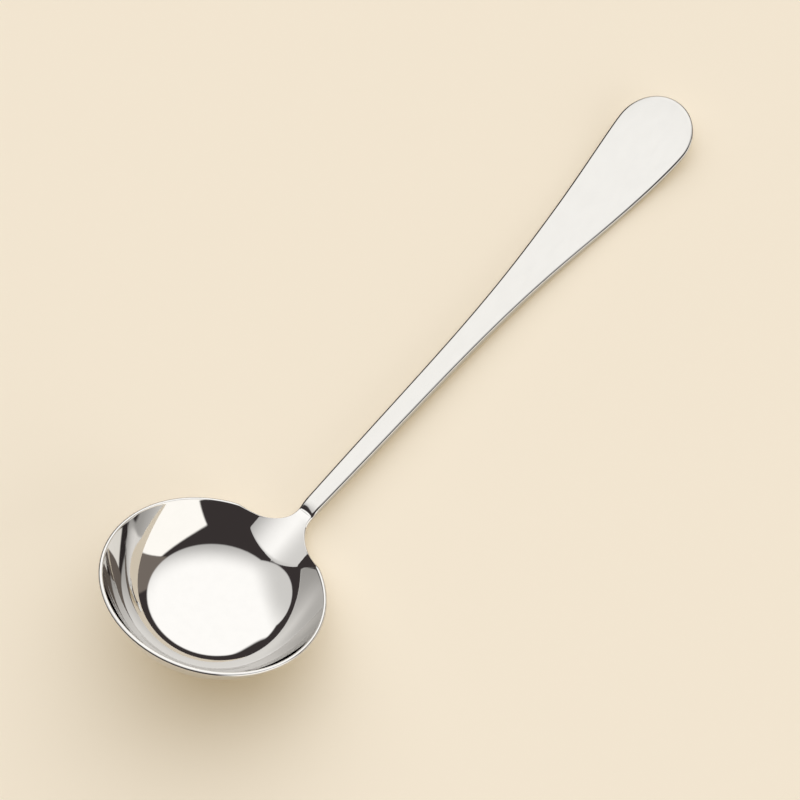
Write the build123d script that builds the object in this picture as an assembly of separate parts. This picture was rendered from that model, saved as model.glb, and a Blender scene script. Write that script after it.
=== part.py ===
from build123d import *
import os
from math import asin, atan, atan2, cos, degrees, hypot, radians, sin, sqrt, tan

# Round-bowled soup spoon, lying at rest on a flat surface.
# X runs from the bowl to the handle's tip, Y across the spoon and Z up.  The origin is on the surface,
# under the middle of the spoon's length and width.  All sizes are in millimetres and degrees.

# Bowl: its inside follows height = -depth * (1 - (radius / bowl_radius) ** bowl_power)
bowl_radius = 26.5        # inner edge of the lip
bowl_depth = 14.0         # lip to the inside of the bottom
bowl_power = 3.8          # a higher power gives a flatter bottom and steeper walls
bowl_sheet = 1.1          # thickness of the pressed sheet
lip_crown = 0.25          # rounding of the lip above its two edges
rim_lean = 27.6           # the rim's plane tips down towards the handle

# Neck: it leaves the bowl as a trough and ends at a crest, where the handle is welded on
neck_reach = 5.75         # crest beyond the lip's outer edge, along the rim's plane
neck_rise = 1.95          # crest above the rim's plane
neck_width = 4.34
neck_thickness = 2.4
neck_bend = 9.0           # bend between the rim's plane and the handle's top
shoulder_angle = 30.0     # where the shoulders leave the lip, from the neck's axis
shoulder_arm_rim = 11.0   # how far the lip's direction is felt along a shoulder
shoulder_arm_neck = 2.5   # how far the neck's direction is felt
scoop_radius = 16.0       # hollow of the trough
scoop_inset = 5.0         # from the lip in to where the trough's floor leaves the bowl's inside
root_inset = 8.0          # from the lip in to where the neck's underside has run into the bowl's wall
weld_length = 2.0         # ground-flush butt weld between neck and handle

# Handle: a flat bar that widens into a rounded end
handle_length = 146.0     # crest to tip
straight_length = 102.0   # straight run before the end sweeps up
sweep_radius = 142.0      # upward sweep of the underside
middle_thickness = 2.75
flare_thickness = 2.5     # where the sweep starts
tip_thickness = 1.4
middle_at = 65.0          # where the bar is thickest, from the crest
flare_start = 94.5        # from the crest, where the sides open most
flare_width = 11.4
widest_at = 135.4         # from the crest
widest_width = 20.7
edge_radius = 0.35        # broken edges of the bar

# Curves of the handle's sides in plan: slopes, and how far each slope is felt
neck_taper = 0.022        # width gained on each side per length, at the neck
neck_arm = 45.0
flare_taper = 0.1135      # the same where the sides open most
flare_arm_in = 30.0
flare_arm_out = 15.0
widest_arm = 5.8

profile_steps = 10        # spline points on the bowl's profile
ROUND_END = 4 / 3 * (sqrt(2) - 1)   # Bezier arm of a quarter ellipse


def inner_point(radius):
    """Point of the bowl's inside, in the plane of its axis."""
    return radius, -bowl_depth * (1 - (radius / bowl_radius) ** bowl_power)


def wall_angle(radius):
    """Steepness of the bowl's wall at a radius, in radians."""
    slope = bowl_depth * bowl_power / bowl_radius * (radius / bowl_radius) ** (bowl_power - 1)
    return atan(slope)


def wall_point(radius, depth):
    """The same point a given depth into the wall."""
    angle = wall_angle(radius)
    x, z = inner_point(radius)
    return x + depth * sin(angle), z - depth * cos(angle)


lean = radians(rim_lean)
lip_angle = wall_angle(bowl_radius)
rim_radius = wall_point(bowl_radius, bowl_sheet)[0]
crest_reach = rim_radius + neck_reach

# The bowl touches the surface where its wall is as steep as the rim leans
contact_radius = bowl_radius * (tan(lean) * bowl_radius / (bowl_depth * bowl_power)) ** (1 / (bowl_power - 1))
contact_x, contact_z = inner_point(contact_radius)
rim_height = contact_x * sin(lean) - contact_z * cos(lean) + bowl_sheet

# The handle droops so far that its sweep touches the surface as well
crest_x = crest_reach * cos(lean) + neck_rise * sin(lean)
crest_z = rim_height - crest_reach * sin(lean) + neck_rise * cos(lean)
sweep_height = sweep_radius - neck_thickness
droop = atan2(sweep_height, straight_length) + asin((crest_z - sweep_radius) / hypot(sweep_height, straight_length))
handle_rise = lean - droop

bowl_place = Pos(0, 0, rim_height) * Rot(0, rim_lean, 0)
seam_x = crest_x - neck_thickness * sin(droop)
seam_z = crest_z - neck_thickness * cos(droop)
handle_place = Pos(seam_x, 0, seam_z) * Rot(0, degrees(droop), 0)
far = 2 * crest_reach     # reach of the cutting bodies
neck_root = wall_point(bowl_radius - root_inset, bowl_sheet / 2)
scoop_start = inner_point(bowl_radius - scoop_inset)


def revolved(*edges):
    """Solid of revolution about the bowl's axis from edges in the plane of the axis."""
    return revolve(Plane.XZ * make_face(edges), axis=Axis.Z)


def bowl_shell():
    """Pressed bowl with a rounded lip, in the rim's frame."""
    radii = [bowl_radius * step / profile_steps for step in range(profile_steps + 1)]
    wall_direction = (cos(lip_angle), sin(lip_angle))
    inside = Spline([inner_point(r) for r in radii], tangents=[(1, 0), wall_direction])
    outside = Spline([wall_point(r, bowl_sheet) for r in radii], tangents=[(1, 0), wall_direction])
    middle_x, middle_z = (inside @ 1 + outside @ 1).X / 2, (inside @ 1 + outside @ 1).Y / 2
    crown = (middle_x + lip_crown * wall_direction[0], middle_z + lip_crown * wall_direction[1])
    lip = ThreePointArc(inside @ 1, crown, outside @ 1)
    return revolved(inside, lip, outside, Line(inside @ 0, outside @ 0))


def bowl_hollow():
    """Everything above the bowl's inside, with the wall carried on past the lip."""
    radii = [bowl_radius * step / profile_steps for step in range(profile_steps + 1)]
    wall_direction = (cos(lip_angle), sin(lip_angle))
    inside = Spline([inner_point(r) for r in radii], tangents=[(1, 0), wall_direction])
    top = (bowl_radius + bowl_depth / tan(lip_angle), bowl_depth)
    return revolved(inside, Polyline(inside @ 1, top, (0, bowl_depth), inside @ 0))


def trough(radius, low, high):
    """Cylinder whose lowest line starts just short of one point and runs on through the other."""
    angle = atan2(high[1] - low[1], high[0] - low[0])
    start_x = low[0] - radius * sin(angle) - bowl_sheet * cos(angle)
    start_z = low[1] + radius * cos(angle) - bowl_sheet * sin(angle)
    turn = Rot(0, 90 - degrees(angle), 0)
    return Pos(start_x, 0, start_z) * turn * Cylinder(radius, far, align=(Align.CENTER, Align.CENTER, Align.MIN))


def neck_plan():
    """Neck seen along the bowl's axis: two curved shoulders that run from the lip to the crest."""
    half = neck_width / 2
    turn = radians(shoulder_angle)
    leave = (rim_radius * cos(turn), rim_radius * sin(turn))
    shoulder = Bezier(
        leave,
        (leave[0] + shoulder_arm_rim * sin(turn), leave[1] - shoulder_arm_rim * cos(turn)),
        (crest_reach - shoulder_arm_neck, half),
        (crest_reach, half),
    )
    root_x = neck_root[0]
    back = Polyline((crest_reach, half), (far, half), (far, 0), (root_x, 0), (root_x, leave[1]), leave)
    face = make_face([shoulder, back])
    return extrude(face + mirror(face, Plane.XZ), amount=far, both=True)


def neck_profile():
    """Neck seen from the side: under the rim's plane and the handle's top, up to the seam."""
    crest = (crest_reach, neck_rise)
    meet = (crest_reach - neck_rise / tan(handle_rise), 0)
    foot = (crest_reach + far * sin(handle_rise), neck_rise - far * cos(handle_rise))
    top = FilletPolyline((0, 0), meet, crest, radius=neck_bend)
    rest = Polyline(crest, foot, (0, foot[1]), (0, 0))
    return extrude(Plane.XZ * make_face([top, rest]), amount=far, both=True)


def make_bowl():
    """Bowl and neck in one pressing, in the spoon's frame."""
    crest = (crest_reach, neck_rise)
    seam_foot = (
        crest_reach + neck_thickness * sin(handle_rise),
        neck_rise - neck_thickness * cos(handle_rise),
    )
    outside = trough(scoop_radius + neck_thickness, neck_root, seam_foot)
    inside = trough(scoop_radius, scoop_start, crest)
    neck = outside & neck_plan() & neck_profile()
    return bowl_place * ((bowl_shell() + neck - bowl_hollow()) - inside)


def handle_plan():
    """Outline of the bar: a slight taper, an open flare and a rounded end."""
    neck_half = neck_width / 2
    flare_half = flare_width / 2
    widest_half = widest_width / 2
    end_length = handle_length - widest_at
    shank = Bezier(
        (0, neck_half),
        (neck_arm, neck_half + neck_arm * neck_taper),
        (flare_start - flare_arm_in, flare_half - flare_arm_in * flare_taper),
        (flare_start, flare_half),
    )
    flare = Bezier(
        (flare_start, flare_half),
        (flare_start + flare_arm_out, flare_half + flare_arm_out * flare_taper),
        (widest_at - widest_arm, widest_half),
        (widest_at, widest_half),
    )
    end = Bezier(
        (widest_at, widest_half),
        (widest_at + ROUND_END * end_length, widest_half),
        (handle_length, ROUND_END * widest_half),
        (handle_length, 0),
    )
    face = make_face([shank, flare, end, Line((handle_length, 0), (0, 0)), Line((0, 0), (0, neck_half))])
    return extrude(face + mirror(face, Plane.XZ), amount=far, both=True)


def underside(x):
    """Height of the bar's underside at a distance from the seam."""
    beyond = max(x - straight_length, 0)
    return sweep_radius - sqrt(sweep_radius ** 2 - beyond ** 2)


def handle_profile():
    """Bar seen from the side: a straight run, then an upward sweep, with its thickness on top."""
    half_x = (straight_length + handle_length) / 2
    half_thickness = (flare_thickness + tip_thickness) / 2
    end_z = underside(handle_length)
    straight = Line((0, 0), (straight_length, 0))
    sweep = ThreePointArc((straight_length, 0), (half_x, underside(half_x)), (handle_length, end_z))
    end = Line((handle_length, end_z), (handle_length, end_z + tip_thickness))
    top_sweep = ThreePointArc(
        (straight_length, flare_thickness),
        (half_x, underside(half_x) + half_thickness),
        (handle_length, end_z + tip_thickness),
    )
    top = Spline(
        (0, neck_thickness),
        (middle_at, middle_thickness),
        (straight_length, flare_thickness),
        tangents=[(middle_at, middle_thickness - neck_thickness), top_sweep % 0],
    )
    seam = Line((0, neck_thickness), (0, 0))
    return extrude(Plane.XZ * make_face([straight, sweep, end, top_sweep, top, seam]), amount=far, both=True)


def make_bar():
    """Weld and handle as one bar, with broken edges, in the handle's frame."""
    bar = handle_plan() & handle_profile()
    seam_edges = bar.edges().group_by(Axis.X)[0]
    long_edges = [edge for edge in bar.edges() if edge not in seam_edges]
    return fillet(long_edges, edge_radius)


bowl = make_bowl()
bar = make_bar()
weld_cut = Pos(weld_length / 2, 0, 0) * Box(weld_length, far, far)
neck_weld = handle_place * (bar & weld_cut)
handle = handle_place * (bar - weld_cut)

pieces = {"bowl": bowl, "neck_weld": neck_weld, "handle": handle}
box = Compound([solid for piece in pieces.values() for solid in piece.solids()]).bounding_box()
to_origin = Pos(-(box.min.X + box.max.X) / 2, -(box.min.Y + box.max.Y) / 2, -box.min.Z)

os.makedirs("parts", exist_ok=True)
for name, piece in pieces.items():
    placed = to_origin * piece
    export_step(placed, f"parts/{name}.step")
    size = placed.bounding_box().size
    print(name, len(placed.solids()), "solids", round(placed.volume, 2), "mm3", [round(v, 3) for v in size])
print("rim", round(rim_radius, 3), "rim height", round(rim_height, 3), "crest", round(crest_x, 3), round(crest_z, 3))
print("droop", round(degrees(droop), 3), "shift", [round(v, 4) for v in to_origin.position])
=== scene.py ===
import math

import bmesh
import bpy
import numpy as np
from mathutils import Matrix, Vector


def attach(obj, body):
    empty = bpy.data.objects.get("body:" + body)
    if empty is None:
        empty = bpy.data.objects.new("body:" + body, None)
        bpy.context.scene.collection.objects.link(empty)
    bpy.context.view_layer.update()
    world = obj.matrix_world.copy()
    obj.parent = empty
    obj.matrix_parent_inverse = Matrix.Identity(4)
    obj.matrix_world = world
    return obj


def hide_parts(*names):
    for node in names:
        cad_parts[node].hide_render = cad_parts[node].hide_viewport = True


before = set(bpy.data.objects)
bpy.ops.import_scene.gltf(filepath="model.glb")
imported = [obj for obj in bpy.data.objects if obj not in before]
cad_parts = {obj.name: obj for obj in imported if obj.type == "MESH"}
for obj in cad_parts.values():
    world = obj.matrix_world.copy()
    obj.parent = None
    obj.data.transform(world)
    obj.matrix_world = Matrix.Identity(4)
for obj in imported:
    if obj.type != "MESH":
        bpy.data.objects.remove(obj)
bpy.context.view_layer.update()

MM = 0.001

# Bowl, in millimetres, in the rim's frame: a towards the handle, y across, n out of the bowl
BOWL_RADIUS = 26.5        # inner edge of the lip
BOWL_DEPTH = 14.0         # lip to the inside of the bottom
BOWL_POWER = 3.8          # a higher power gives a flatter bottom and steeper walls
SHEET = 1.09              # a hair under the solid's sheet, so that the skin stays inside its box
RIM_RADIUS = 27.44        # outer edge of the lip
RIM_LEAN = math.radians(27.6)
RIM_X = -75.9314          # middle of the rim's plane in the row's frame
RIM_Z = 19.1021
LIP_IN = 1.02             # where the lip's rounding starts inside and outside, in from its outline
LIP_OUT = 0.06
LIP_BULGE = 0.4           # height of the lip's rounding

# Neck, in the same frame
CREST_A = 33.235          # top of the bar where the handle starts, before the step
CREST_N = 1.95
CREST_DROP = 0.95         # step down from the handle's top to the neck's
CREST_LENGTH = 3.4        # how far along the handle the step is rounded
CREST_BOW = 0.45          # how far the rounding's start bows along the middle
NECK_HALF = 2.17
NECK_THICKNESS = 2.4
SHOULDER_ANGLE = math.radians(30.0)  # where the shoulders leave the lip, from the neck's axis
SHOULDER_ARM_RIM = 11.0   # how far the lip's direction is felt along a shoulder
SHOULDER_ARM_NECK = 2.5   # how far the neck's direction is felt
LEAN_FROM = 28.5          # from here on, the neck's sides lean over towards the weld's face
SCOOP_START = 22.4        # where the trough's floor leaves the bowl's inside
SCOOP_RADIUS = 17.5       # hollow of the trough
SCOOP_CURVED = 8.0        # half width of the hollow, with straight sides past it
SCOOP_SIDE = 0.77         # slope of those sides
SCOOP_FADE = 19.0         # the trough bends up before here, clear of the bowl's bottom
SCOOP_BLEND = 0.15        # rounding where the trough meets the bowl's inside
TOP_BLEND = 0.3           # rounding where the trough meets the rim's plane
BEND_BLEND = 0.9          # rounding between the rim's plane and the neck's top
ROOT_START = 18.5         # where the neck's underside has run into the bowl's wall
ROOT_RADIUS = 18.4        # roundness of the neck's underside
ROOT_FADE = 20.0
ROOT_BLEND = 1.0
FADE_RATE = 0.25
TROUGH_LIMIT = 0.95       # share of a trough's radius past which it runs flat

# Handle, in its own frame: x from the crest along the underside, z up from it
DROOP = math.radians(1.67)
HANDLE_LENGTH = 145.97    # crest to tip
STRAIGHT = 102.0          # straight run before the end sweeps up
SWEEP = 142.0             # radius of the sweep
NECK_ARM = 45.0           # how far the neck's direction is felt along the handle's sides
NECK_TAPER = 0.022        # half width gained per length, at the neck
FLARE_START = 94.5        # where the shank's curve hands over to the flare's
FLARE_HALF = 5.7
FLARE_TAPER = 0.1135
FLARE_ARM_IN = 30.0
FLARE_ARM_OUT = 15.0
WIDEST_AT = 135.4
WIDEST_HALF = 10.33
WIDEST_ARM = 5.8
MIDDLE_AT = 65.0          # where the bar is thickest
MIDDLE_THICKNESS = 2.75
SWEEP_THICKNESS = 2.5
TIP_THICKNESS = 1.4
CROWN = 0.05              # fall from the middle of the top to its edges, at the neck
CROWN_GAIN = 0.02         # what it gains per half width
WELD = 2.0                # length of the weld
SPINE_END = 136.5         # the mesh's lines run in to a spine that ends here
SPINE_FADE = 12.0         # and slow down over this length

# Edges of neck, weld and handle
EDGE = 0.42               # rounding of the lower edges, and inset of the neck's
EDGE_SHARE = 0.35         # share of the neck's side that each edge takes in the mesh
BEVEL_RUNS = (            # upper edges: angles from and to, length, facets
    (0, 28, 0.09, 4),
    (28, 36, 0.45, 4),
    (36, 90, 0.33, 6),
)

# Meshes
WALL_POINTS = 400         # of the table that gives the bowl's outside
SHOULDER_POINTS = 71
RIM_POINTS = 200
SEAM_POINTS = 13
LIP_STEPS = 20
INNER_STEPS = 120
OUTER_STEPS = 40
CROWDING = 1.25           # draws the rings together towards the lip
SEAM = 2.0                # marks the outline's points on the weld's face
SHANK_POINTS = 150
FLARE_POINTS = 70
END_POINTS = 60
SPINE_POINTS = 19         # from the handle's spine to an edge
FIRST_GAP = 0.2           # least space between the handle's first two columns
WELD_RINGS = 25
WELD_POINTS = 12          # from the middle of the weld's top to an edge
MERGE_DISTANCE = 2e-7
SHARP_ANGLE = math.radians(40)

# Floor and light
FLOOR_HALF = 6.0
FLOOR_GAP = 0.00003       # keeps the floor clear of the bowl's lowest point
FLOOR_COLOUR = (0.845, 0.795, 0.72)
FLOOR_GLOW = (1.0, 0.72, 0.28)
GLOW_STRENGTH = 0.19
ROOM = (0.055, 0.046, 0.046)
SIDE_PANEL = (0.24, 0.205, 0.18)
ROUND_LIGHT = (0.62, 0.61, 0.6)
ROUND_CORE = (1.46, 1.45, 1.43)
ROUND_DIM = (0.88, 0.87, 0.85)
SOFTBOX = (1.46, 1.43, 1.37)

# Camera
CAMERA_AT = (-183.3015, -199.2579, 591.0082)
CAMERA_RIGHT = (0.650423, -0.75678, -0.065069)
CAMERA_UP = (0.709266, 0.574456, 0.408585)
SENSOR_WIDTH = 36.0
LENS = 117.0

# Worked out from the sizes above: the wall's slope at the lip, the handle's angle to the rim's plane,
# and where the neck's top meets the weld, a step below the crest
WALL = BOWL_DEPTH * BOWL_POWER / BOWL_RADIUS
RISE = RIM_LEAN - DROOP
END_A = CREST_A + CREST_DROP * math.sin(RISE)
END_N = CREST_N - CREST_DROP * math.cos(RISE)


def smooth_min(first, second, width):
    """The lower of two heights, rounded where they meet."""
    mix = np.clip(width - np.abs(first - second), 0, None) / width
    return np.minimum(first, second) - mix * mix * width / 4


def bezier(points, count):
    """Points of a cubic Bezier curve."""
    t = np.linspace(0, 1, count)[:, None]
    p = np.array(points, float)
    s = 1 - t
    return s ** 3 * p[0] + 3 * s ** 2 * t * p[1] + 3 * s * t ** 2 * p[2] + t ** 3 * p[3]


def cubic_through(x, knots, values):
    """A natural cubic spline."""
    k, v = np.array(knots, float), np.array(values, float)
    h = np.diff(k)
    size = len(k)
    system, right = np.eye(size), np.zeros(size)
    for i in range(1, size - 1):
        system[i, i - 1:i + 2] = h[i - 1], 2 * (h[i - 1] + h[i]), h[i]
        right[i] = 6 * ((v[i + 1] - v[i]) / h[i] - (v[i] - v[i - 1]) / h[i - 1])
    m = np.linalg.solve(system, right)
    i = np.clip(np.searchsorted(k, x, side="right") - 1, 0, size - 2)
    low, high = k[i + 1] - x, x - k[i]
    curve = (m[i] * low ** 3 + m[i + 1] * high ** 3) / (6 * h[i])
    return curve + (v[i] / h[i] - m[i] * h[i] / 6) * low + (v[i + 1] / h[i] - m[i + 1] * h[i] / 6) * high


def wall_height(rho):
    """The bowl's inside, carried on straight past the lip."""
    inside = -BOWL_DEPTH * (1 - (np.minimum(rho, BOWL_RADIUS) / BOWL_RADIUS) ** BOWL_POWER)
    return inside + WALL * np.clip(rho - BOWL_RADIUS, 0, None)


def offset_wall():
    """The bowl's outside as radius and height, one sheet from the inside."""
    r = np.linspace(0, BOWL_RADIUS, WALL_POINTS)
    angle = np.arctan(WALL * (r / BOWL_RADIUS) ** (BOWL_POWER - 1))
    return r + SHEET * np.sin(angle), wall_height(r) - SHEET * np.cos(angle)


OUTER_R, OUTER_N = offset_wall()


def outer_height(rho):
    """The bowl's outside, carried on straight past the lip."""
    return np.interp(rho, OUTER_R, OUTER_N) + WALL * np.clip(rho - OUTER_R[-1], 0, None)


def trough_height(a, y, low, high, radius, start):
    """A straight trough through two points, faded out upwards where it would cut the bowl's bottom."""
    slope = (high[1] - low[1]) / (high[0] - low[0])
    lift = radius - np.sqrt(radius ** 2 - np.minimum(np.abs(y), TROUGH_LIMIT * radius) ** 2)
    height = high[1] + (a - high[0]) * slope + lift * math.sqrt(1 + slope * slope)
    return height + FADE_RATE * np.clip(start - a, 0, None) ** 2


def top_plane(a):
    """The rim's plane, bending up into the neck's top."""
    line = END_N + (a - END_A) * math.tan(RISE)
    return -smooth_min(-line, 0.0, BEND_BLEND)


def top_height(a, y):
    """Upper surface of bowl and neck."""
    curved = np.minimum(np.abs(y), SCOOP_CURVED)
    low = (SCOOP_START, float(wall_height(SCOOP_START)))
    scoop = trough_height(a, curved, low, (END_A, END_N), SCOOP_RADIUS, SCOOP_FADE)
    scoop = scoop + SCOOP_SIDE * (np.abs(y) - curved)
    inside = smooth_min(wall_height(np.hypot(a, y)), scoop, SCOOP_BLEND)
    return smooth_min(inside, top_plane(a), TOP_BLEND)


def bottom_height(a, y):
    """Lower surface of bowl and neck."""
    foot = (CREST_A + NECK_THICKNESS * math.sin(RISE), CREST_N - NECK_THICKNESS * math.cos(RISE))
    root = (ROOT_START, float(wall_height(ROOT_START)) - SHEET / 2)
    under = trough_height(a, y, root, foot, ROOT_RADIUS, ROOT_FADE)
    return smooth_min(outer_height(np.hypot(a, y)), under, ROOT_BLEND)


def upper_edge():
    """Inset and drop of an upper edge, from the flat to the wall: a tight arc, a bevel and a wider arc."""
    turns, lengths = [], []
    for start, stop, length, count in BEVEL_RUNS:
        ends = np.radians(np.linspace(start, stop, count + 1))
        turns.extend((ends[1:] + ends[:-1]) / 2)
        lengths.extend([length / count] * count)
    across = np.concatenate([[0], np.cumsum(np.array(lengths) * np.cos(turns))])
    down = np.concatenate([[0], np.cumsum(np.array(lengths) * np.sin(turns))])
    return across[-1] - across, down


UPPER_INSET, UPPER_DROP = upper_edge()
TOP_EDGE = UPPER_INSET[0]


def lower_edge(count):
    """Inset and rise of a rounded lower edge, from the wall to the flat."""
    bends = np.linspace(math.pi / 2, 0, count)
    return EDGE * (1 - np.sin(bends)), EDGE * (1 - np.cos(bends))


def from_rim(points):
    """Points of the rim's frame in the row's frame, in metres."""
    a, y, n = points[:, 0], points[:, 1], points[:, 2]
    x = RIM_X + a * math.cos(RIM_LEAN) + n * math.sin(RIM_LEAN)
    z = RIM_Z - a * math.sin(RIM_LEAN) + n * math.cos(RIM_LEAN)
    return np.stack([x, y, z], 1) * MM


def from_handle(points):
    """Points of the handle's frame in the row's frame, in metres."""
    crest_x = RIM_X + CREST_A * math.cos(RIM_LEAN) + CREST_N * math.sin(RIM_LEAN)
    crest_z = RIM_Z - CREST_A * math.sin(RIM_LEAN) + CREST_N * math.cos(RIM_LEAN)
    start_x = crest_x - NECK_THICKNESS * math.sin(DROOP)
    start_z = crest_z - NECK_THICKNESS * math.cos(DROOP)
    x = start_x + points[:, 0] * math.cos(DROOP) + points[:, 2] * math.sin(DROOP)
    z = start_z - points[:, 0] * math.sin(DROOP) + points[:, 2] * math.cos(DROOP)
    return np.stack([x, points[:, 1], z], 1) * MM


def quads(count, length, joined=False, looped=False):
    """Faces between columns of points: joined closes the last column to the first, looped each column."""
    faces = []
    for i in range(count if joined else count - 1):
        j = (i + 1) % count
        for k in range(length if looped else length - 1):
            m = (k + 1) % length
            faces.append((i * length + k, j * length + k, j * length + m, i * length + m))
    return faces


def make_piece(name, verts, faces):
    """A smooth-shaded mesh object from points in the row's frame."""
    mesh = bpy.data.meshes.new(name)
    mesh.from_pydata([tuple(v) for v in verts], [], faces)
    work = bmesh.new()
    work.from_mesh(mesh)
    bmesh.ops.remove_doubles(work, verts=work.verts, dist=MERGE_DISTANCE)
    bmesh.ops.recalc_face_normals(work, faces=work.faces)
    work.to_mesh(mesh)
    work.free()
    mesh.polygons.foreach_set("use_smooth", [True] * len(mesh.polygons))
    mesh.set_sharp_from_angle(angle=SHARP_ANGLE)
    mesh.update()
    piece = bpy.data.objects.new(name, mesh)
    bpy.context.collection.objects.link(piece)
    return piece


def bowl_outline():
    """The outline of bowl and neck, once round from the seam, with outward normals.

    Each row is a, y, normal a, normal y and a share that is 1 on the neck and 0 on the rim, or SEAM.
    """
    out, along = math.cos(SHOULDER_ANGLE), math.sin(SHOULDER_ANGLE)
    leave = np.array([RIM_RADIUS * out, RIM_RADIUS * along])
    shoulder = bezier([
        (END_A, NECK_HALF),
        (END_A - SHOULDER_ARM_NECK, NECK_HALF),
        leave + SHOULDER_ARM_RIM * np.array([along, -out]),
        leave,
    ], SHOULDER_POINTS)
    tangent = np.gradient(shoulder, axis=0)
    tangent /= np.linalg.norm(tangent, axis=1)[:, None]
    tangent[0], tangent[-1] = (-1, 0), (-along, out)
    share = np.linspace(1, 0, len(shoulder))
    share = share * share * (3 - 2 * share)
    rows = [(a, y, ty, -ta, s) for (a, y), (ta, ty), s in zip(shoulder, tangent, share)]
    for angle in np.linspace(SHOULDER_ANGLE, math.pi, RIM_POINTS)[1:]:
        na, ny = math.cos(angle), math.sin(angle)
        rows.append((RIM_RADIUS * na, RIM_RADIUS * ny, na, ny, 0.0))
    half = np.array(rows)
    other = half[::-1][1:] * np.array([1, -1, 1, -1, 1])
    flat = NECK_HALF - EDGE
    seam = [(END_A, y, 1, 0, SEAM) for y in np.linspace(-flat, flat, SEAM_POINTS)]
    return np.concatenate([half, other, np.array(seam)])


def round_lip(top, low, na, ny):
    """The bowl's lip: half an ellipse from its inside to its outside."""
    wall = math.atan(WALL)
    bulge = LIP_BULGE * np.array([na * math.cos(wall), ny * math.cos(wall), math.sin(wall)])
    turns = np.linspace(0, math.pi, LIP_STEPS + 1)[:, None]
    return (top + low) / 2 + (top - low) / 2 * np.cos(turns) + bulge * np.sin(turns)


def neck_side(top, low, na, ny, shear):
    """The neck's side: a bevelled upper edge, a flat and a rounded lower edge."""
    places = np.arange(len(UPPER_INSET))
    depth = top[2] - low[2]
    points = []
    for share in np.linspace(0, 1, LIP_STEPS + 1):
        if share <= EDGE_SHARE:
            place = share / EDGE_SHARE * places[-1]
            out = EDGE * (1 - np.interp(place, places, UPPER_INSET) / TOP_EDGE)
            down = EDGE * np.interp(place, places, UPPER_DROP) / UPPER_DROP[-1]
        elif share < 1 - EDGE_SHARE:
            out = EDGE
            down = EDGE + (depth - 2 * EDGE) * (share - EDGE_SHARE) / (1 - 2 * EDGE_SHARE)
        else:
            bend = (1 - share) / EDGE_SHARE * math.pi / 2
            out = EDGE * math.sin(bend)
            down = depth - EDGE * (1 - math.cos(bend))
        points.append(top + np.array([out * na + shear * down, out * ny, -down]))
    return np.array(points)


def crowded(steps):
    """Shares of the way from the bowl's middle to its lip, closer together near the lip."""
    return 1 - (1 - np.linspace(0, 1, steps + 1)[1:]) ** CROWDING


def bowl_column(a, y, na, ny, kind):
    """Points up the bowl's inside, over the lip and back along its outside, at one point of the outline."""
    neck = min(kind, 1.0)
    inset = LIP_IN + (EDGE - LIP_IN) * neck
    inset_low = LIP_OUT + (EDGE - LIP_OUT) * neck
    if kind == SEAM:
        inset = inset_low = 0.0
    shear = math.tan(RISE) * np.clip((a - LEAN_FROM) / (END_A - LEAN_FROM), 0, 1)
    top_a, top_y = a - inset * na, y - inset * ny
    top_n = top_height(top_a, top_y)
    low_a, low_y = a - inset_low * na, y - inset_low * ny
    low_n = bottom_height(low_a, low_y)
    for _ in range(4):
        low_a = a - inset_low * na + shear * (top_n - low_n)
        low_n = bottom_height(low_a, low_y)
    top, low = np.array([top_a, top_y, top_n]), np.array([low_a, low_y, low_n])
    if kind == SEAM:
        lip = top + (low - top) * np.linspace(0, 1, LIP_STEPS + 1)[:, None]
    else:
        rounded = round_lip(top, low, na, ny)
        lip = rounded + (neck_side(top, low, na, ny, shear) - rounded) * neck
    inner_a, inner_y = top_a * crowded(INNER_STEPS), top_y * crowded(INNER_STEPS)
    outer_a, outer_y = low_a * crowded(OUTER_STEPS)[::-1], low_y * crowded(OUTER_STEPS)[::-1]
    return np.concatenate([
        np.stack([inner_a, inner_y, top_height(inner_a, inner_y)], 1),
        lip[1:-1],
        np.stack([outer_a, outer_y, bottom_height(outer_a, outer_y)], 1),
    ])


def make_bowl():
    """Bowl and neck as one closed skin: inside, rounded lip, outside and the flat face at the seam."""
    columns = np.array([bowl_column(*row) for row in bowl_outline()])
    count, length = columns.shape[:2]
    middle = np.array([[0, 0, -BOWL_DEPTH], [0, 0, -BOWL_DEPTH - SHEET]])
    verts = np.concatenate([columns.reshape(-1, 3), middle])
    faces = quads(count, length, joined=True)
    inside, outside = count * length, count * length + 1
    for i in range(count):
        j = (i + 1) % count
        faces.append((inside, j * length, i * length))
        faces.append((outside, i * length + length - 1, j * length + length - 1))
    return make_piece("bowl_skin", from_rim(verts), faces)


def handle_outline():
    """Half of the handle's outline, y > 0, from the crest to the tip."""
    round_end = 4 / 3 * (math.sqrt(2) - 1)
    shank = bezier([
        (0, NECK_HALF),
        (NECK_ARM, NECK_HALF + NECK_ARM * NECK_TAPER),
        (FLARE_START - FLARE_ARM_IN, FLARE_HALF - FLARE_ARM_IN * FLARE_TAPER),
        (FLARE_START, FLARE_HALF),
    ], SHANK_POINTS)
    flare = bezier([
        (FLARE_START, FLARE_HALF),
        (FLARE_START + FLARE_ARM_OUT, FLARE_HALF + FLARE_ARM_OUT * FLARE_TAPER),
        (WIDEST_AT - WIDEST_ARM, WIDEST_HALF),
        (WIDEST_AT, WIDEST_HALF),
    ], FLARE_POINTS)
    end = bezier([
        (WIDEST_AT, WIDEST_HALF),
        (WIDEST_AT + round_end * (HANDLE_LENGTH - WIDEST_AT), WIDEST_HALF),
        (HANDLE_LENGTH, round_end * WIDEST_HALF),
        (HANDLE_LENGTH, 0),
    ], END_POINTS)
    return np.concatenate([shank[:-1], flare[:-1], end])


OUTLINE = handle_outline()


def half_width(x):
    """Half of the handle's width at a distance from the crest."""
    return np.interp(x, OUTLINE[:, 0], OUTLINE[:, 1])


def under_height(x):
    """The handle's underside: straight, then swept up."""
    beyond = np.clip(x - STRAIGHT, 0, None)
    return SWEEP - np.sqrt(SWEEP ** 2 - beyond ** 2)


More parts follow.
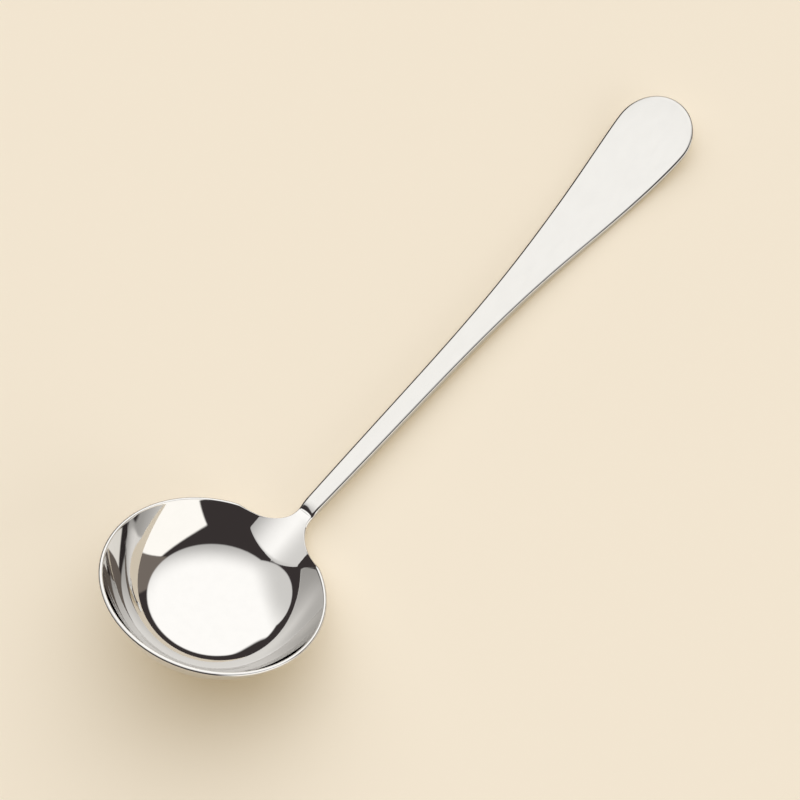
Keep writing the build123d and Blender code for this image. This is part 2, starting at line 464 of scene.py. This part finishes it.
def upper_height(x, y):
    """The handle's top: slightly crowned, and rounded down to the neck's top at the weld."""
    thickness = cubic_through(
        x,
        (0, MIDDLE_AT, STRAIGHT, HANDLE_LENGTH),
        (NECK_THICKNESS, MIDDLE_THICKNESS, SWEEP_THICKNESS, TIP_THICKNESS),
    )
    width = half_width(np.minimum(x, WIDEST_AT))
    crown = CROWN + CROWN_GAIN * (width - NECK_HALF)
    across = np.clip(np.abs(y) / width, 0, 1)
    along = np.clip(x - CREST_BOW * (1 - across ** 2), 0, None)
    step = CREST_DROP * np.clip(1 - along / CREST_LENGTH, 0, None) ** 2
    return under_height(x) + thickness - crown * across ** 3 - step


def make_weld():
    """The short weld between neck and handle, a bar with bevelled and rounded edges and flat ends."""
    low_inset, low_rise = lower_edge(6)
    rings = []
    for x in np.linspace(0, WELD, WELD_RINGS):
        half = float(half_width(x))
        top_y = np.linspace(0, half - TOP_EDGE, WELD_POINTS)
        top_z = upper_height(x, top_y)
        low_y = np.linspace(half - EDGE, 0, WELD_POINTS)[1:]
        y = np.concatenate([top_y, half - UPPER_INSET[1:], half - low_inset, low_y])
        z = np.concatenate([top_z, top_z[-1] - UPPER_DROP[1:], low_rise, np.zeros(len(low_y))])
        ring = np.stack([np.full(len(y), x), y, z], 1)
        rings.append(np.concatenate([ring, ring[::-1][1:-1] * np.array([1, -1, 1])]))
    rings = np.array(rings)
    count, length = rings.shape[:2]
    faces = quads(count, length, looped=True)
    faces.append(tuple(range(length)))
    faces.append(tuple(range((count - 1) * length, count * length)))
    return make_piece("weld_skin", from_handle(rings.reshape(-1, 3)), faces)


def make_handle():
    """The handle: columns run in from its outline to a spine, above and below, round the tip."""
    start = np.array([[WELD, float(half_width(WELD))]])
    half = np.concatenate([start, OUTLINE[OUTLINE[:, 0] > WELD + FIRST_GAP]])
    tangent = np.gradient(half, axis=0)
    tangent[0] = (1, tangent[0, 1] / tangent[0, 0])
    tangent[-1] = (0, -1)
    tangent /= np.linalg.norm(tangent, axis=1)[:, None]
    inward = np.stack([tangent[:, 1], -tangent[:, 0]], 1)
    inward[0], inward[-1] = (0, -1), (-1, 0)
    slowing = SPINE_END - SPINE_FADE
    slowed = SPINE_END - SPINE_FADE * np.exp(-(half[:, 0] - slowing) / SPINE_FADE)
    spine = np.where(half[:, 0] < slowing, half[:, 0], slowed)
    fractions = np.linspace(0, 1, SPINE_POINTS)
    low_inset, low_rise = lower_edge(7)
    columns = []
    for (px, py), (ix, iy), sx in zip(half, inward, spine):
        grid_x = sx + (px + TOP_EDGE * ix - sx) * fractions
        grid_y = max(py + TOP_EDGE * iy, 0.0) * fractions
        top = np.stack([grid_x, grid_y, upper_height(grid_x, grid_y)], 1)
        grid_x = sx + (px + EDGE * ix - sx) * fractions
        grid_y = max(py + EDGE * iy, 0.0) * fractions
        low = np.stack([grid_x, grid_y, under_height(grid_x)], 1)[::-1]
        inset = np.concatenate([UPPER_INSET[1:], low_inset[:-1]])
        side_z = np.concatenate([top[-1, 2] - UPPER_DROP[1:], low[0, 2] + low_rise[:-1]])
        side = np.stack([px + inset * ix, np.maximum(py + inset * iy, 0), side_z], 1)
        columns.append(np.concatenate([top, side, low]))
    right = np.array(columns)
    left = right[::-1][1:] * np.array([1, -1, 1])
    columns = np.concatenate([right, left])
    count, length = columns.shape[:2]
    faces = quads(count, length)
    last = (count - 1) * length
    faces.append(tuple(range(length)) + tuple(last + k for k in range(length - 2, 0, -1)))
    return make_piece("handle_skin", from_handle(columns.reshape(-1, 3)), faces)


def add_node(tree, kind, values, wires, **settings):
    """A shader node with its settings, the values of its sockets and what is wired to them."""
    node = tree.nodes.new(kind)
    for name, setting in settings.items():
        setattr(node, name, setting)
    for socket, value in values.items():
        node.inputs[socket].default_value = value
    for socket, source in wires.items():
        tree.links.new(source, node.inputs[socket])
    return node


def blank_material(name, colour):
    """A material with its own node tree and a plain colour, and its shader."""
    material = bpy.data.materials.new(name)
    material.use_nodes = True
    shader = material.node_tree.nodes["Principled BSDF"]
    shader.inputs["Base Color"].default_value = (*colour, 1)
    return material, shader


def steel(name, colour, streak, rough, rough_spread, scratch, stretch):
    """Polished steel with faint streaks, uneven gloss and fine wear lines."""
    material, shader = blank_material(name, colour)
    tree = material.node_tree
    shader.inputs["Metallic"].default_value = 1.0
    place = add_node(tree, "ShaderNodeTexCoord", {}, {}).outputs["Object"]
    lines = add_node(tree, "ShaderNodeMapping", {"Scale": stretch}, {"Vector": place}).outputs["Vector"]

    def noise(vector, scale, detail):
        values = {"Scale": scale, "Detail": detail}
        return add_node(tree, "ShaderNodeTexNoise", values, {"Vector": vector}).outputs["Fac"]

    def spread(value, low, high, result_low, result_high):
        values = {"From Min": low, "From Max": high, "To Min": result_low, "To Max": result_high}
        return add_node(tree, "ShaderNodeMapRange", values, {"Value": value}).outputs["Result"]

    gloss = spread(noise(place, scale=60.0, detail=6.0), 0.35, 0.65, rough, rough + rough_spread)
    tree.links.new(gloss, shader.inputs["Roughness"])
    streaked = tuple(channel * (1 - streak) for channel in colour)
    patches = spread(noise(lines, scale=380.0, detail=5.0), 0.35, 0.6, 0.0, 1.0)
    tones = {"A": (*streaked, 1), "B": (*colour, 1)}
    tone = add_node(tree, "ShaderNodeMix", tones, {"Factor": patches}, data_type="RGBA")
    tree.links.new(tone.outputs["Result"], shader.inputs["Base Color"])
    wear = {"Strength": scratch, "Distance": 0.02 * MM}
    grain = noise(lines, scale=900.0, detail=3.0)
    bump = add_node(tree, "ShaderNodeBump", wear, {"Height": grain})
    tree.links.new(bump.outputs["Normal"], shader.inputs["Normal"])
    return material


def add_floor():
    """A wide pale floor, with a little glow of its own for the camera and for reflections."""
    mesh = bpy.data.meshes.new("floor")
    corners = [(x * FLOOR_HALF, y * FLOOR_HALF, 0) for x, y in ((-1, -1), (1, -1), (1, 1), (-1, 1))]
    mesh.from_pydata(corners, [], [(0, 1, 2, 3)])
    floor = bpy.data.objects.new("floor", mesh)
    bpy.context.collection.objects.link(floor)
    floor.location.z = -FLOOR_GAP
    material, shader = blank_material("floor_cream", FLOOR_COLOUR)
    tree = material.node_tree
    shader.inputs["Roughness"].default_value = 0.7
    shader.inputs["Specular IOR Level"].default_value = 0.2
    shader.inputs["Emission Color"].default_value = (*FLOOR_GLOW, 1)
    path = add_node(tree, "ShaderNodeLightPath", {}, {})
    seen = path.outputs["Is Camera Ray"]
    for ray in ("Is Glossy Ray", "Is Transmission Ray"):
        wires = {0: seen, 1: path.outputs[ray]}
        seen = add_node(tree, "ShaderNodeMath", {}, wires, operation="MAXIMUM").outputs["Value"]
    glow = add_node(tree, "ShaderNodeMath", {1: GLOW_STRENGTH}, {0: seen}, operation="MULTIPLY")
    tree.links.new(glow.outputs["Value"], shader.inputs["Emission Strength"])
    mesh.materials.append(material)


def direction(azimuth, elevation):
    """Unit vector from angles in degrees: azimuth from +X towards +Y, elevation from the floor."""
    turn, tilt = math.radians(azimuth), math.radians(elevation)
    return Vector((math.cos(tilt) * math.cos(turn), math.cos(tilt) * math.sin(turn), math.sin(tilt)))


def add_world():
    """Soft studio light: a wide round source high beyond the spoon, and a softbox low on one side.

    Each mask is a soft-edged part of the sky, given by directions and angles in degrees.
    """
    world = bpy.data.worlds.new("studio")
    bpy.context.scene.world = world
    world.use_nodes = True
    tree = world.node_tree
    place = add_node(tree, "ShaderNodeTexCoord", {}, {}).outputs["Generated"]

    def combine(operation, first, second):
        node = add_node(tree, "ShaderNodeMath", {}, {0: first, 1: second}, operation=operation)
        return node.outputs["Value"]

    def both(first, second):
        return combine("MULTIPLY", first, second)

    def either(first, second):
        return combine("MAXIMUM", first, second)

    def outside(mask):
        node = add_node(tree, "ShaderNodeMath", {0: 1.0}, {1: mask}, operation="SUBTRACT")
        return node.outputs["Value"]

    def cone(azimuth, elevation, inner, outer):
        axis = {1: direction(azimuth, elevation)}
        dot = add_node(tree, "ShaderNodeVectorMath", axis, {0: place}, operation="DOT_PRODUCT")
        limits = {"From Min": math.cos(math.radians(outer)), "From Max": math.cos(math.radians(inner))}
        wires = {"Value": dot.outputs["Value"]}
        mask = add_node(tree, "ShaderNodeMapRange", limits, wires, interpolation_type="SMOOTHSTEP")
        return mask.outputs["Result"]

    def side(azimuth, elevation, soft):
        return cone(azimuth, elevation, 90 - soft, 90 + soft)

    def wedge(from_azimuth, to_azimuth, soft):
        return both(side(from_azimuth + 90, 0, soft), side(to_azimuth - 90, 0, soft))

    def layer(below, colour, mask):
        wires = {"A": below, "Factor": mask}
        node = add_node(tree, "ShaderNodeMix", {"B": (*colour, 1)}, wires, data_type="RGBA")
        return node.outputs["Result"]

    round_light = either(cone(20, 60, 51.5, 54), cone(77.5, 55.5, 35, 37))
    round_light = both(round_light, cone(-28, 76, 77, 84))
    round_light = both(round_light, outside(cone(50, 0, 14, 18)))
    room = add_node(tree, "ShaderNodeRGB", {}, {}).outputs["Color"]
    room.default_value = (*ROOM, 1)
    sky = layer(room, SIDE_PANEL, both(wedge(-49, -13, 1.5), side(-80, -55, 3)))
    sky = layer(sky, ROUND_LIGHT, round_light)
    sky = layer(sky, ROUND_CORE, both(round_light, cone(35, 42, 36, 76)))
    sky = layer(sky, ROUND_DIM, both(round_light, cone(112, 26, 4, 50)))
    sky = layer(sky, SOFTBOX, both(wedge(-112, -49, 1.0), side(-104, -52, 1.5)))
    tree.links.new(sky, tree.nodes["Background"].inputs["Color"])


def add_camera():
    """The photograph's viewing angle."""
    data = bpy.data.cameras.new("camera")
    data.sensor_width = SENSOR_WIDTH
    data.lens = LENS
    data.clip_start = 0.01
    data.dof.use_dof = False
    camera = bpy.data.objects.new("camera", data)
    bpy.context.collection.objects.link(camera)
    right, up = Vector(CAMERA_RIGHT), Vector(CAMERA_UP)
    turn = Matrix((right, up, right.cross(up))).transposed()
    camera.matrix_world = Matrix.Translation(Vector(CAMERA_AT) * MM) @ turn.to_4x4()
    bpy.context.scene.camera = camera


bowl = make_bowl()
bowl.data.materials.append(steel(
    "bowl_polish", (0.68, 0.67, 0.655),
    streak=0.012, rough=0.02, rough_spread=0.015, scratch=0.05, stretch=(1, 1, 1),
))
weld = make_weld()
weld.data.materials.append(steel(
    "weld_polish", (0.66, 0.65, 0.635),
    streak=0.06, rough=0.05, rough_spread=0.04, scratch=0.08, stretch=(0.2, 1, 1),
))
# The handle's steel is darker than the bowl's: the steel's own tone with painted shade on top, standing in
# for the dimmer light the handle reflects.
handle = make_handle()
handle.data.materials.append(steel(
    "handle_polish_painted_shade", (0.61, 0.6, 0.58),
    streak=0.018, rough=0.06, rough_spread=0.05, scratch=0.1, stretch=(0.5, 1, 1),
))

for piece, node, slot in (
    (bowl, "bowl", "bowl_steel"),
    (weld, "neck_weld", "weld_steel"),
    (handle, "handle", "handle_steel"),
):
    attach(piece, "root")
    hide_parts(node)

add_floor()
add_world()
add_camera()
bpy.context.scene.view_settings.view_transform = "Standard"
